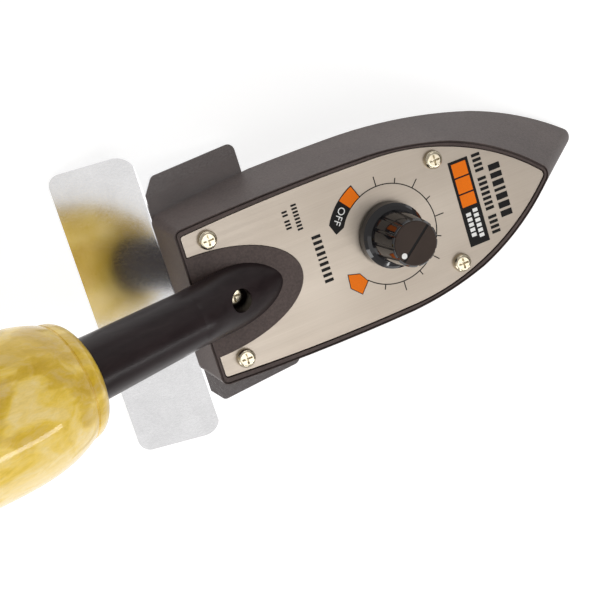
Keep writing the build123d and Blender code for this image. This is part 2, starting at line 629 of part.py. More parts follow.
# ---------------------------------------------------------------- rest
with BuildPart() as rest_bracket:
    with BuildSketch(Plane.XZ) as fold:
        with BuildLine():
            Polyline(
                REST_FRONT,
                REST_RIDGE,
                REST_REAR,
                (REST_REAR[0] + 0.4, REST_REAR[1] - 0.9),
                (REST_RIDGE[0], REST_RIDGE[1] - 0.95),
                (REST_FRONT[0] - 0.2, REST_FRONT[1] - 0.9),
                close=True,
            )
        make_face()
        ridge = fold.vertices().group_by(Axis.Y)
        fillet(ridge[-1], 2.2)
        fillet(fold.vertices().filter_by_position(Axis.Y, 10.0, 11.3), 1.3)
    extrude(amount=50, both=True)
    with BuildSketch() as plan:
        with BuildLine():
            for side in (1, -1):
                Line((-90, side * 44.9), (-67.0, side * 44.9))
                ThreePointArc((-67.0, side * 44.9), (-63.2, side * 43.6), (-61.4, side * 40.4))
                Polyline((-61.4, side * 40.4), (-61.0, side * 31.5), (-57.4, side * 36.3),
                         (-20, side * 36.3))
            Line((-90, 44.9), (-90, -44.9))
            Line((-20, 36.3), (-20, -36.3))
        make_face()
        fillet(plan.vertices().filter_by_position(Axis.X, -58, -57), 2.0)
    extrude(amount=30, mode=Mode.INTERSECT)
    fillet(rest_bracket.edges().filter_by(lambda e: e.length < 1.2)
           .filter_by_position(Axis.X, -86, -84.5), 3.6)
    fillet(rest_bracket.edges().filter_by(lambda e: e.length < 1.2)
           .filter_by_position(Axis.X, -30, -28), 2.6)
    with Locations((NECK_SCREW_X, 0, 10)):
        Cylinder(5.15, 30, mode=Mode.SUBTRACT)
rest_bracket.part.label = "rest_bracket"
export_step(rest_bracket.part, "parts/rest_bracket.step")

# ---------------------------------------------------------------- neck
with BuildPart() as neck:
    add(neck_body())
    with Locations(neck_plane(0)):
        Cylinder(SPIGOT_R, SPIGOT_L, align=(Align.CENTER, Align.CENTER, Align.MAX))
    with Locations(neck_plane(-SPIGOT_L)):
        Cylinder(NECK_BORE_R, SPIGOT_L + 50.0, align=(Align.CENTER, Align.CENTER, Align.MIN),
                 mode=Mode.SUBTRACT)
    with Locations((-57.9, 0, 30.0)):
        Box(5.0, 7.0, 16.0, mode=Mode.SUBTRACT)
    with Locations((NECK_SCREW_X, 0, NECK_SEAT_Z)):
        Cylinder(3.4, 20, align=(Align.CENTER, Align.CENTER, Align.MIN), mode=Mode.SUBTRACT)
        Cylinder(M4_R + 0.2, 30, mode=Mode.SUBTRACT)
neck.part.label = "neck"
export_step(neck.part, "parts/neck.step")

with BuildPart() as neck_screw:
    with Locations((NECK_SCREW_X, 0, NECK_SEAT_Z)):
        add(pan_screw(M4_R, NECK_SEAT_Z - 12.0, 3.2, 2.2))
neck_screw.part.label = "neck_screw"
export_step(neck_screw.part, "parts/neck_screw.step")

# ---------------------------------------------------------------- handle
with BuildPart() as handle:
    with BuildSketch(HANDLE_PLANE):
        with BuildLine():
            Line((-BEAD_L, 0), (-BEAD_L, 10.6))
            ThreePointArc((-BEAD_L, 10.6), (-0.2, 15.4), (3.7, 17.1))
            ThreePointArc((3.7, 17.1), (4.1, 16.85), (4.5, 17.3))
            Spline((4.5, 17.3), (14.0, 20.5), (28, 21.5), (46, 20.6), (72, 18.0), (92, 17.4),
                   (106, 18.2))
            Spline((106, 18.2), (113.5, 17.2), (117.2, 13.4), (HANDLE_L, 9.4),
                   tangents=((1, 0.06), (0.1, -1)))
            Line((HANDLE_L, 9.4), (HANDLE_L, 0))
            Line((HANDLE_L, 0), (-BEAD_L, 0))
        make_face()
    revolve(axis=HANDLE_AXIS)
    with Locations(AXIS_BACK):
        Cylinder(TUBE_R + 0.15, 2 * HANDLE_L + 20, mode=Mode.SUBTRACT)
        Cylinder(SPIGOT_R + 0.05, 2 * (SPIGOT_L + 0.3), mode=Mode.SUBTRACT)
        Cylinder(NECK_R_REAR + 0.05, BEAD_L + 1.0, align=(Align.CENTER, Align.CENTER, Align.MAX),
                 mode=Mode.SUBTRACT)
    with Locations(AXIS_BACK.offset(HANDLE_L)):
        Cylinder(8.6, 2 * 13.0, mode=Mode.SUBTRACT)
handle.part.label = "handle"
export_step(handle.part, "parts/handle.step")

with BuildPart() as handle_tube:
    with Locations(AXIS_BACK.offset(-12.0)):
        Cylinder(TUBE_R, HANDLE_L - 13.0 + 12.0 + 7.5, align=(Align.CENTER, Align.CENTER, Align.MIN))
        Cylinder(TUBE_BORE_R, 400, mode=Mode.SUBTRACT)
handle_tube.part.label = "handle_tube"
export_step(handle_tube.part, "parts/handle_tube.step")

with BuildPart() as handle_washer:
    with Locations(AXIS_BACK.offset(HANDLE_L - 13.0)):
        Cylinder(8.3, 1.2, align=(Align.CENTER, Align.CENTER, Align.MIN))
        Cylinder(TUBE_R + 0.15, 10, mode=Mode.SUBTRACT)
handle_washer.part.label = "handle_washer"
export_step(handle_washer.part, "parts/handle_washer.step")

with BuildPart() as handle_nut:
    with BuildSketch(AXIS_BACK.offset(HANDLE_L - 11.8)):
        RegularPolygon(7.0, 6, major_radius=False)
        Circle(TUBE_R + THREAD_GAP, mode=Mode.SUBTRACT)
    extrude(amount=5.0)
handle_nut.part.label = "handle_nut"
export_step(handle_nut.part, "parts/handle_nut.step")

# rubber plug in the handle's end, drawn out into a ribbed strain-relief sleeve
sleeve_line = [(HANDLE_L - PLUG_L, CORD_R + 0.6), (HANDLE_L - PLUG_L, 8.55), (HANDLE_L, 8.55),
               (HANDLE_L, 9.4), (HANDLE_L + 1.4, 9.4), (HANDLE_L + 2.4, 8.6)]
for i in range(SLEEVE_RIBS):
    for step, cut in ((0.0, 0.0), (2.2, 0.0), (2.2, 1.1), (3.8, 1.1)):
        along = 2.4 + 3.8 * i + step
        sleeve_line.append((HANDLE_L + along, SLEEVE_R - SLEEVE_TAPER * along - cut))
sleeve_line += [(HANDLE_L + SLEEVE_L, SLEEVE_R - SLEEVE_TAPER * SLEEVE_L), (HANDLE_L + SLEEVE_L, CORD_R),
                (HANDLE_L + 1.0, CORD_R), (HANDLE_L + 1.0, CORD_R + 0.6)]
with BuildPart() as cord_grommet:
    with BuildSketch(HANDLE_PLANE):
        with BuildLine():
            Polyline(*sleeve_line, close=True)
        make_face()
    revolve(axis=HANDLE_AXIS)
cord_grommet.part.label = "cord_grommet"
export_step(cord_grommet.part, "parts/cord_grommet.step")

# ---------------------------------------------------------------- wiring
BLOCK_X, BLOCK_Z = -37.5, 14.6
with BuildPart() as terminal_block:
    with Locations((BLOCK_X, 0, SADDLE_Z)):
        Box(14.0, 27.0, SADDLE_Z - BLOCK_Z, align=(Align.CENTER, Align.CENTER, Align.MAX))
    fillet(terminal_block.edges().filter_by(Axis.Z), 1.5)
    with Locations((BLOCK_X, -8.8, 19.6), (BLOCK_X, 8.8, 19.6)):
        Box(20.0, 4.2, 4.2, mode=Mode.SUBTRACT)
    with Locations((BLOCK_X, 4.4, BLOCK_Z), (BLOCK_X, -4.4, BLOCK_Z)):
        Box(20.0, 1.0, 5.0, mode=Mode.SUBTRACT)
    with Locations((BLOCK_X, 0, 20.0)):
        Cylinder(1.8, 30, mode=Mode.SUBTRACT)
    with Locations((BLOCK_X + 3.6, -8.8, BLOCK_Z), (BLOCK_X - 3.6, -8.8, BLOCK_Z),
                   (BLOCK_X + 3.6, 8.8, BLOCK_Z), (BLOCK_X - 3.6, 8.8, BLOCK_Z)):
        Cylinder(1.7, 8, mode=Mode.SUBTRACT)
terminal_block.part.label = "terminal_block"
export_step(terminal_block.part, "parts/terminal_block.step")

with BuildPart() as terminal_inserts:
    for y in (-8.8, 8.8):
        with Locations((BLOCK_X, y, 19.6)):
            Box(13.0, 4.1, 4.1)
            with Locations(Rotation(0, 90, 0)):
                Cylinder(1.25, 30, mode=Mode.SUBTRACT)
        with Locations((BLOCK_X + 3.6, y, 18.0), (BLOCK_X - 3.6, y, 18.0)):
            Cylinder(1.28, 3.0, mode=Mode.SUBTRACT)
terminal_inserts.part.label = "terminal_inserts"
export_step(terminal_inserts.part, "parts/terminal_inserts.step")

with BuildPart() as terminal_screws:
    for y in (-8.8, 8.8):
        for x in (BLOCK_X - 3.6, BLOCK_X + 3.6):
            with Locations((x, y, BLOCK_Z + 0.8)):
                Cylinder(1.25, 2.9, align=(Align.CENTER, Align.CENTER, Align.MIN))
                Box(4, 0.5, 1.4, mode=Mode.SUBTRACT)
terminal_screws.part.label = "terminal_screws"
export_step(terminal_screws.part, "parts/terminal_screws.step")

with BuildPart() as block_screw:
    with Locations(Location((BLOCK_X, 0, BLOCK_Z), (180, 0, 0))):
        add(pan_screw(M3_R, 13.4, 2.6, 1.6))
block_screw.part.label = "block_screw"
export_step(block_screw.part, "parts/block_screw.step")

FUSE_Y, FUSE_Z = -11.0, 15.2
with BuildPart() as thermal_fuse:
    with Locations(Location((-18.0, FUSE_Y, FUSE_Z), (0, 90, 0))):
        Cylinder(2.0, 11.0, align=(Align.CENTER, Align.CENTER, Align.MIN))
    fillet(thermal_fuse.edges(), 0.4)
thermal_fuse.part.label = "thermal_fuse"
export_step(thermal_fuse.part, "parts/thermal_fuse.step")

with BuildPart() as fuse_clip:
    with BuildSketch(Plane.YZ.offset(-14.5)):
        with Locations((FUSE_Y, FUSE_Z)):
            Circle(2.55)
            Circle(2.03, mode=Mode.SUBTRACT)
            with Locations((0, -2.6)):
                Rectangle(2.6, 1.6, mode=Mode.SUBTRACT)
        with Locations((FUSE_Y + 3.4, 12.85)):
            Rectangle(2.4, 0.5)
        with Locations((FUSE_Y + 2.45, 13.8)):
            Rectangle(0.5, 2.4)
    extrude(amount=4.0)
fuse_clip.part.label = "fuse_clip"
export_step(fuse_clip.part, "parts/fuse_clip.step")


def lead(points, radius=1.0):
    """Insulated wire following a smooth line through the given points."""
    with BuildPart() as wire:
        with BuildLine() as run:
            Spline(*points)
        with BuildSketch(Plane(origin=run.line @ 0, z_dir=run.line % 0)):
            Circle(radius)
        sweep()
    return wire.part


BLOCK_FRONT = BLOCK_X + 7.1
lead_fuse = lead([(BLOCK_FRONT, -8.8, 19.6), (-26.0, -9.3, 19.0), (-22.0, -10.8, 15.8),
                  (-18.3, FUSE_Y, FUSE_Z)])
lead_fuse.label = "lead_fuse"
export_step(lead_fuse, "parts/lead_fuse.step")

lead_bimetal = lead([(-6.7, FUSE_Y, FUSE_Z), (0.0, -10.8, 16.4), (14.0, -8.5, 20.0),
                     (27.0, -3.0, 26.6), (31.0, 3.0, 27.2), (29.2, 5.6, 25.6)])
lead_bimetal.label = "lead_bimetal"
export_step(lead_bimetal, "parts/lead_bimetal.step")

lead_neutral = lead([(BLOCK_FRONT, 8.8, 19.6), (-26.8, 9.2, 18.0), (-25.6, 10.0, 12.5),
                     (-25.6, 10.0, 7.1)])
lead_neutral.label = "lead_neutral"
export_step(lead_neutral, "parts/lead_neutral.step")

lead_element = lead([(-25.6, -10.0, 7.1), (-25.4, -9.6, 12.0), (-22.6, -2.0, 15.6),
                     (-21.6, 6.0, 17.4), (-20.4, 9.4, 18.2)])
lead_element.label = "lead_element"
export_step(lead_element, "parts/lead_element.step")

with BuildPart() as earth_screw:
    with Locations((EARTH_SCREW[0], EARTH_SCREW[1], SOLE_BLOCK)):
        add(pan_screw(M3_R, 6.0, 2.8, 1.8))
earth_screw.part.label = "earth_screw"
export_step(earth_screw.part, "parts/earth_screw.step")
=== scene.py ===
"""Looks for the edge-banding iron.  Metres, in the CAD's own frame."""
import json
import math
import bmesh
import bpy
from mathutils import Matrix, Vector


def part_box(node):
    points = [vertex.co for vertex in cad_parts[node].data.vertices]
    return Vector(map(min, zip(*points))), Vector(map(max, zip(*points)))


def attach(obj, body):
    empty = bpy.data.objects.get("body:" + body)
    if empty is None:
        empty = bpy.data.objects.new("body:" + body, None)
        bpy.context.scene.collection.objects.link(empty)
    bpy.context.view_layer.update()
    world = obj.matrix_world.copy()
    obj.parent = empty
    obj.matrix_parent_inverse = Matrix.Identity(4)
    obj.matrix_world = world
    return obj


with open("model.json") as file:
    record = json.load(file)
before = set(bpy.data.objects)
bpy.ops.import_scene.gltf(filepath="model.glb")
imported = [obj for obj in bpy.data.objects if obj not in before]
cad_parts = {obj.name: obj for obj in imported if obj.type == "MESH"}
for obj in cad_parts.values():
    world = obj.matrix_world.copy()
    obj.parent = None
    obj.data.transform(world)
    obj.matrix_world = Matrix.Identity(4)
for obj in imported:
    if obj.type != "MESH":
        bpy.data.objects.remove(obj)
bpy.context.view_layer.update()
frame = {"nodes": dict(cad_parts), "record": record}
NODES = frame["nodes"]
SCENE = bpy.context.scene
MM = 0.001

# sizes in millimetres and angles in degrees, in the frame's own axes
HANDLE_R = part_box("handle")[1].y / MM
HANDLE_TILT = 16.6
PLATE_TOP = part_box("control_plate")[1].z / MM
CAP_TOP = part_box("knob_cap")[1].z / MM
INK_T = 0.04              # printed layer above the plate
INK_SUNK = 0.02           # and its share below the plate's surface
SECOND_COAT = 0.02        # colour printed over black
LINE_W = 0.32
DIAL_R = 15.0
DIAL_START, DIAL_END = -135, 129
TICKS = 10
TICK_FIRST, TICK_STEP = 90, 22.5
TICK_LONG, TICK_SHORT = 3.0, 1.6
OFF_IN, OFF_OUT = DIAL_R - 0.2, DIAL_R + 4.5
OFF_START, OFF_END, OFF_POINT = 112, 152, 160
OFF_TURN = 141.5
LETTER_R = DIAL_R + 2.15
LETTER_SIZE = 3.1
LETTER_T = 0.03
ARROW = [(-16.0, -7.0), (-12.5, -8.0), (-10.8, -10.8), (-13.5, -13.8), (-16.3, -11.0)]
ARROW_EDGE = 1.1          # outline, as a multiple of the arrow
GROOVE_TURN = 218.0
GROOVE_HALF, GROOVE_W = 6.3, 0.76
GROOVE_FLOOR, ENAMEL_TOP = 0.34, 0.12    # depths below the cap's top
FLOOR_DROP = 0.2          # keeps the floor off the sole's face
FLOOR_HALF = 3000.0

# ------------------------------------------------------------------ material helpers


def new_material(name):
    """Node material, its tree and its shader."""
    mat = bpy.data.materials.new(name)
    mat.use_nodes = True
    tree = mat.node_tree
    return mat, tree, tree.nodes["Principled BSDF"]


def coords(tree, scale=(1, 1, 1), rotation=(0, 0, 0)):
    """Object coordinates in millimetres, stretched by scale."""
    tex = tree.nodes.new("ShaderNodeTexCoord")
    mp = tree.nodes.new("ShaderNodeMapping")
    mp.inputs["Scale"].default_value = [1000 * s for s in scale]
    mp.inputs["Rotation"].default_value = rotation
    tree.links.new(tex.outputs["Object"], mp.inputs["Vector"])
    return mp.outputs["Vector"]


def noise(tree, vector, scale, detail=4, roughness=0.5, distortion=0.0):
    n = tree.nodes.new("ShaderNodeTexNoise")
    n.inputs["Scale"].default_value = scale
    n.inputs["Detail"].default_value = detail
    n.inputs["Roughness"].default_value = roughness
    n.inputs["Distortion"].default_value = distortion
    tree.links.new(vector, n.inputs["Vector"])
    return n.outputs["Fac"]


def ramp(tree, fac, stops, interpolation="LINEAR"):
    r = tree.nodes.new("ShaderNodeValToRGB")
    r.color_ramp.interpolation = interpolation
    while len(r.color_ramp.elements) < len(stops):
        r.color_ramp.elements.new(0.5)
    for el, (pos, col) in zip(r.color_ramp.elements, stops):
        el.position = pos
        el.color = (*col, 1) if len(col) == 3 else col
    tree.links.new(fac, r.inputs["Fac"])
    return r.outputs["Color"]


def rng(tree, fac, lo, hi, from_lo=0.0, from_hi=1.0):
    m = tree.nodes.new("ShaderNodeMapRange")
    m.inputs["From Min"].default_value = from_lo
    m.inputs["From Max"].default_value = from_hi
    m.inputs["To Min"].default_value = lo
    m.inputs["To Max"].default_value = hi
    tree.links.new(fac, m.inputs["Value"])
    return m.outputs["Result"]


def mix(tree, fac, a, b, mode="MIX"):
    m = tree.nodes.new("ShaderNodeMix")
    m.data_type = "RGBA"
    m.blend_type = mode
    for sock, val in ((m.inputs["Factor"], fac), (m.inputs["A"], a), (m.inputs["B"], b)):
        if isinstance(val, (int, float)):
            sock.default_value = val
        elif isinstance(val, tuple):
            sock.default_value = (*val, 1)
        else:
            tree.links.new(val, sock)
    return m.outputs["Result"]


def total(tree, a, b):
    """Sum of two values."""
    m = tree.nodes.new("ShaderNodeMath")
    m.operation = "ADD"
    tree.links.new(a, m.inputs[0])
    tree.links.new(b, m.inputs[1])
    return m.outputs["Value"]


def bump(tree, shader, height, strength, distance_mm, chain=None):
    b = tree.nodes.new("ShaderNodeBump")
    b.inputs["Strength"].default_value = strength
    b.inputs["Distance"].default_value = distance_mm * MM
    tree.links.new(height, b.inputs["Height"])
    if chain is not None:
        tree.links.new(chain, b.inputs["Normal"])
    tree.links.new(b.outputs["Normal"], shader.inputs["Normal"])
    return b.outputs["Normal"]


def link(tree, out, sock):
    tree.links.new(out, sock)


# ------------------------------------------------------------------ materials


def brushed_plate():
    """Control plate: fine brushing along its length, warm silver."""
    mat, t, s = new_material("plate_brushed")
    fine = noise(t, coords(t, (0.06, 5.0, 1.0)), 1.0, 6, 0.7)
    broad = noise(t, coords(t, (0.02, 0.9, 1.0)), 1.0, 3)
    cloud = noise(t, coords(t), 0.035, 3)
    base = ramp(t, cloud, [(0.3, (0.44, 0.38, 0.318)), (0.7, (0.49, 0.43, 0.366))])
    streak = ramp(t, fine, [(0.25, (0.88, 0.88, 0.88)), (0.75, (1.08, 1.08, 1.08))])
    link(t, mix(t, 0.55, base, mix(t, 1.0, base, streak, "MULTIPLY")), s.inputs["Base Color"])
    s.inputs["Metallic"].default_value = 0.9
    link(t, rng(t, broad, 0.34, 0.46), s.inputs["Roughness"])
    s.inputs["Anisotropic"].default_value = 0.5
    bump(t, s, fine, 0.25, 0.01)
    return mat


def textured_paint(name, dark, light, grain_mm=0.35, depth=0.06, rough=(0.42, 0.58)):
    """Fine leatherette-like paint on the casting, a little polished on its high spots."""
    mat, t, s = new_material(name)
    v = t.nodes.new("ShaderNodeTexVoronoi")
    v.feature = "SMOOTH_F1"
    v.inputs["Scale"].default_value = 1.0 / grain_mm
    v.inputs["Smoothness"].default_value = 0.6
    link(t, coords(t), v.inputs["Vector"])
    cells = v.outputs["Distance"]
    wide = noise(t, coords(t), 0.05, 4)
    speck = noise(t, coords(t), 1.6, 3)
    base = ramp(t, wide, [(0.3, dark), (0.7, light)])
    grit = ramp(t, speck, [(0.3, (0.82, 0.82, 0.82)), (0.72, (1.22, 1.2, 1.18))])
    link(t, mix(t, 1.0, base, grit, "MULTIPLY"), s.inputs["Base Color"])
    link(t, rng(t, speck, rough[1], rough[0]), s.inputs["Roughness"])
    s.inputs["Specular IOR Level"].default_value = 0.3
    first = bump(t, s, cells, 0.5, depth)
    bump(t, s, wide, 0.15, 0.3, first)
    return mat


def smooth_phenolic(name, dark, light, rough=(0.28, 0.38)):
    """Moulded dark neck: semi-gloss with faint flow marks and handling scuffs."""
    mat, t, s = new_material(name)
    flow = noise(t, coords(t, (0.05, 0.35, 0.35)), 1.0, 5, 0.55, 0.4)
    scuff = noise(t, coords(t, (0.5, 4.0, 4.0)), 1.0, 2)
    link(t, ramp(t, flow, [(0.3, dark), (0.75, light)]), s.inputs["Base Color"])
    link(t, rng(t, scuff, rough[0], rough[1], 0.3, 0.7), s.inputs["Roughness"])
    s.inputs["Specular IOR Level"].default_value = 0.22
    s.inputs["Coat Weight"].default_value = 0.1
    s.inputs["Coat Roughness"].default_value = 0.24
    bump(t, s, flow, 0.12, 0.12)
    return mat


def zinc_sheet():
    """Rest: satin sheet with a fine granular grain and a faint cloudy bloom."""
    mat, t, s = new_material("rest_satin_zinc")
    bloom = noise(t, coords(t), 0.12, 4, 0.6, 0.5)
    grain = noise(t, coords(t, (0.7, 1.6, 1.0)), 1.5, 4, 0.7)
    base = ramp(t, bloom, [(0.3, (0.70, 0.70, 0.71)), (0.68, (0.77, 0.77, 0.78))])
    fine = ramp(t, grain, [(0.3, (0.86, 0.86, 0.86)), (0.7, (1.08, 1.08, 1.08))])
    link(t, mix(t, 0.6, base, mix(t, 1.0, base, fine, "MULTIPLY")), s.inputs["Base Color"])
    s.inputs["Metallic"].default_value = 1.0
    link(t, rng(t, grain, 0.11, 0.18, 0.3, 0.7), s.inputs["Roughness"])
    bump(t, s, grain, 0.22, 0.012)
    return mat


def lacquered_wood():
    """Handle: ivory lacquer over soft olive-yellow clouds drawn out along the grain."""
    mat, t, s = new_material("handle_lacquer")
    tilt = math.radians(HANDLE_TILT)
    along = coords(t, (0.45, 1.0, 1.0), (0, tilt, 0))
    split = t.nodes.new("ShaderNodeSeparateXYZ")
    link(t, along, split.inputs["Vector"])
    # the colour runs deeper yellow towards +Y across the handle's width
    large = total(t, noise(t, along, 0.085, 3, 0.5, 1.1),
                  rng(t, split.outputs["Y"], -0.11, 0.11, -HANDLE_R, HANDLE_R))
    small = noise(t, along, 0.30, 5, 0.6, 0.9)
    pores = noise(t, coords(t, (0.3, 2.4, 2.4), (0, tilt, 0)), 1.0, 3)
    body = ramp(t, large, [(0.40, (0.97, 0.74, 0.27)), (0.47, (0.93, 0.66, 0.10)),
                           (0.53, (0.70, 0.45, 0.006)), (0.66, (0.58, 0.35, 0.0))])
    veil = ramp(t, small, [(0.40, (0.97, 0.76, 0.34)), (0.52, (0.92, 0.64, 0.10)),
                           (0.66, (0.70, 0.45, 0.01))])
    tone = mix(t, 0.30, body, veil)
    fleck = ramp(t, pores, [(0.3, (0.95, 0.95, 0.94)), (0.6, (1.02, 1.02, 1.02))])
    link(t, mix(t, 1.0, tone, fleck, "MULTIPLY"), s.inputs["Base Color"])
    link(t, rng(t, small, 0.30, 0.42), s.inputs["Roughness"])
    s.inputs["Specular IOR Level"].default_value = 0.3
    s.inputs["Coat Weight"].default_value = 0.8
    s.inputs["Coat Roughness"].default_value = 0.07
    bump(t, s, small, 0.05, 0.2)
    return mat


def plain_metal(name, colour, rough=(0.25, 0.4), streak=(1, 1, 1), scale=1.2):
    """Bare or plated metal with fine grain and faint darker patches."""
    mat, t, s = new_material(name)
    n = noise(t, coords(t, streak), scale, 5, 0.6)
    patch = noise(t, coords(t), 0.2, 3)
    low = tuple(c * 0.82 for c in colour)
    link(t, ramp(t, patch, [(0.3, low), (0.7, colour)]), s.inputs["Base Color"])
    s.inputs["Metallic"].default_value = 1.0
    link(t, rng(t, n, rough[0], rough[1], 0.25, 0.75), s.inputs["Roughness"])
    bump(t, s, n, 0.15, 0.015)
    return mat


def plain_solid(name, colour, rough=(0.45, 0.6), grain=1.5, depth=0.03, spread=0.85, coat=0.0,
                shine=0.5):
    """Moulded, painted or fired surface with fine grain and slow colour variation."""
    mat, t, s = new_material(name)
    n = noise(t, coords(t), grain, 5, 0.6)
    patch = noise(t, coords(t), 0.15, 3)
    low = tuple(c * spread for c in colour)
    link(t, ramp(t, patch, [(0.3, low), (0.7, colour)]), s.inputs["Base Color"])
    link(t, rng(t, n, rough[0], rough[1], 0.25, 0.75), s.inputs["Roughness"])
    s.inputs["Specular IOR Level"].default_value = shine
    if coat:
        s.inputs["Coat Weight"].default_value = coat
        s.inputs["Coat Roughness"].default_value = 0.08
    bump(t, s, n, 0.2, depth)
    return mat


def printed_ink(name, colour):
    """Screen-printed ink: nearly flat, with faint mesh texture and thin spots."""
    mat, t, s = new_material(name)
    n = noise(t, coords(t), 5.0, 3)
    low = tuple(c * 0.86 for c in colour)
    link(t, ramp(t, n, [(0.3, low), (0.7, colour)]), s.inputs["Base Color"])
    link(t, rng(t, n, 0.38, 0.5), s.inputs["Roughness"])
    s.inputs["Specular IOR Level"].default_value = 0.12
    bump(t, s, n, 0.1, 0.01)
    return mat


# one finish for each slot of the record, and the two inks
M = {
    "plate": brushed_plate(),
    "cover": textured_paint("cover_paint", (0.062, 0.043, 0.039), (0.088, 0.063, 0.057)),
    "neck": smooth_phenolic("neck_moulding", (0.015, 0.009, 0.010), (0.027, 0.018, 0.019)),
    "rest": zinc_sheet(),
    "handle": lacquered_wood(),
    "screw": plain_metal("screw_nickel", (0.74, 0.66, 0.50), (0.12, 0.26), scale=2.0),
    "knob": plain_solid("knob_gloss", (0.008, 0.007, 0.009), (0.04, 0.08), 0.8, 0.015, 0.8, 0.3),
    "knob_cap": plain_solid("knob_cap_matte", (0.052, 0.036, 0.029), (0.45, 0.6), 3.0, 0.02, shine=0.15),
    "white": plain_solid("white_paint", (0.88, 0.88, 0.86), (0.35, 0.5), 3.0, 0.01, 0.95),
    "sole": plain_metal("sole_ground", (0.66, 0.65, 0.64), (0.28, 0.42), (0.08, 3.0, 1.0), 1.0),
    "steel": plain_metal("mill_steel", (0.56, 0.55, 0.54), (0.3, 0.45)),
    "element": plain_metal("element_sheath", (0.30, 0.25, 0.21), (0.35, 0.55)),
    "ceramic": plain_solid("ceramic_white", (0.80, 0.77, 0.70), (0.5, 0.65), 2.0, 0.03, 0.92),
    "mica": plain_solid("mica_amber", (0.52, 0.40, 0.20), (0.15, 0.35), 0.5, 0.02, 0.8, 0.4),
    "brass": plain_metal("turned_brass", (0.78, 0.58, 0.25), (0.2, 0.34)),
    "silver": plain_metal("contact_silver", (0.86, 0.85, 0.82), (0.15, 0.3)),
    "phenolic": plain_solid("phenolic_dark", (0.035, 0.025, 0.02), (0.3, 0.45), 1.0, 0.03),
    "gasket": plain_solid("fibre_board", (0.56, 0.53, 0.46), (0.8, 0.95), 2.5, 0.12),
    "grommet": plain_solid("rubber_black", (0.022, 0.021, 0.021), (0.55, 0.75), 1.8, 0.04),
    "lead_a": plain_solid("sleeve_white", (0.80, 0.78, 0.72), (0.7, 0.9), 3.0, 0.08),
    "lead_b": plain_solid("sleeve_brown", (0.30, 0.09, 0.05), (0.7, 0.9), 3.0, 0.08),
    "ink_black": printed_ink("ink_black", (0.012, 0.011, 0.011)),
    "ink_orange": printed_ink("ink_orange", (1.0, 0.21, 0.004)),
}

for row in frame["record"]["subparts"]:
    obj = NODES[row["node"]]
    obj.data.materials.clear()
    obj.data.materials.append(M[row["material_slot"]])


def soften(node, width_mm):
    """Small rounded edges on a CAD solid; its own mesh stays as it is."""
    b = NODES[node].modifiers.new("edge", "BEVEL")
    b.width = width_mm * MM
    b.segments = 2
    b.limit_method = "ANGLE"
    b.angle_limit = math.radians(30)
    b.harden_normals = False


for node, width in (("cover", 0.35), ("rest_bracket", 0.18), ("control_plate", 0.12), ("neck", 0.25),
                    ("knob", 0.15), ("knob_cap", 0.08), ("plate_screws", 0.15), ("cord_grommet", 0.3),
                    ("sole_plate", 0.15), ("neck_screw", 0.12)):
    soften(node, width)

# ------------------------------------------------------------------ printing on the control plate


def solid(bm, name, material):
    """Object with the given mesh and material; the mesh is closed and faces outward."""
    bmesh.ops.recalc_face_normals(bm, faces=bm.faces)
    mesh = bpy.data.meshes.new(name)
    bm.to_mesh(mesh)
    bm.free()
    piece = bpy.data.objects.new(name, mesh)
    SCENE.collection.objects.link(piece)
    piece.data.materials.append(material)
    return piece


def prism(bm, points, low, high):
    """Closed prism; an even outline whose halves run side by side is cut into quads."""
    floor_ring = [bm.verts.new((x * MM, y * MM, low * MM)) for x, y in points]
    roof_ring = [bm.verts.new((x * MM, y * MM, high * MM)) for x, y in points]
    count = len(points)
    if count > 5 and count % 2 == 0:
        for i in range(count // 2 - 1):
            k = count - 1 - i
            bm.faces.new([roof_ring[j] for j in (i, i + 1, k - 1, k)])
            bm.faces.new([floor_ring[j] for j in (k, k - 1, i + 1, i)])
    else:
        bm.faces.new(roof_ring)
        bm.faces.new(floor_ring[::-1])
    for i in range(count):
        j = (i + 1) % count
        bm.faces.new((floor_ring[i], floor_ring[j], roof_ring[j], roof_ring[i]))


def printed(name, outlines, slot, lift=0.0):
    """One printed layer: flat closed shapes standing a hair above the plate."""
    bm = bmesh.new()
    for points in outlines:
        prism(bm, points, PLATE_TOP - INK_SUNK, PLATE_TOP + INK_T + lift)
    piece = solid(bm, name, M[slot])
    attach(piece, "iron")


def polar(radius, degrees):
    return (radius * math.cos(math.radians(degrees)), radius * math.sin(math.radians(degrees)))


def sector(r_in, r_out, start, end):
    """Counter-clockwise outline of a ring sector."""
    steps = max(2, int(abs(end - start) / 4))
    turns = [start + (end - start) * i / steps for i in range(steps + 1)]
    return [polar(r_out, t) for t in turns] + [polar(r_in, t) for t in reversed(turns)]


def bar(x0, y0, x1, y1, width):
    """Straight line of the given width."""
    length = math.hypot(x1 - x0, y1 - y0)
    ox, oy = -(y1 - y0) / length * width / 2, (x1 - x0) / length * width / 2
    return [(x0 - ox, y0 - oy), (x1 - ox, y1 - oy), (x1 + ox, y1 + oy), (x0 + ox, y0 + oy)]


def blocks(x_low, x_high, y_start, widths, gap):
    """Row of plain bars running towards -Y; a negative width is an empty space."""
    row, y = [], y_start
    for w in widths:
        if w > 0:
            row.append([(x_low, y), (x_low, y - w), (x_high, y - w), (x_high, y)])
        y -= abs(w) + gap
    return row


